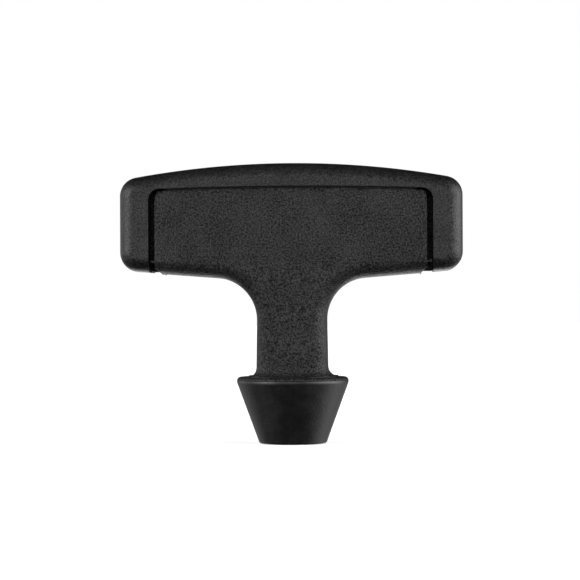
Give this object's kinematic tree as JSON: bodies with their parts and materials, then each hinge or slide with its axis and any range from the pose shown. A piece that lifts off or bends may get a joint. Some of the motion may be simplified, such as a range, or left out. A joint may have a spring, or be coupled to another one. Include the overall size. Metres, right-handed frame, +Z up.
{
  "type": "recoil starter pull handle",
  "caption": "Black T-shaped pull-start grip with a U-shaped clip cap over the bar, a stem, a round flange and a conical rope nose.",
  "frame": {"origin": "centre of the nose's end face, at the foot of the pull axis", "axes": "+Z up the pull axis from the nose to the bar, +X along the bar, -Y towards the front panel"},
  "size_m": [0.098, 0.0322, 0.0806],
  "materials": {
    "grained_plastic": "coarse moulded grain",
    "cap_plastic": "fine matte",
    "nose_plastic": "smooth satin",
    "washer_steel": "zinc plated"
  },
  "bodies": {
    "grip": {"grip_body": "grained_plastic", "nose_bush": "nose_plastic"},
    "cap": {"top_cap": "cap_plastic"},
    "washer": {"knot_washer": "washer_steel"}
  },
  "joints": [
    {"name": "cap_lift", "type": "slide", "parent": "grip", "child": "cap", "axis": [0, 0, 1], "range_m": [0, 0.03]},
    {"name": "washer_lift", "type": "slide", "parent": "grip", "child": "washer", "axis": [0, 0, 1], "range_m": [0, 0.0135]}
  ]
}
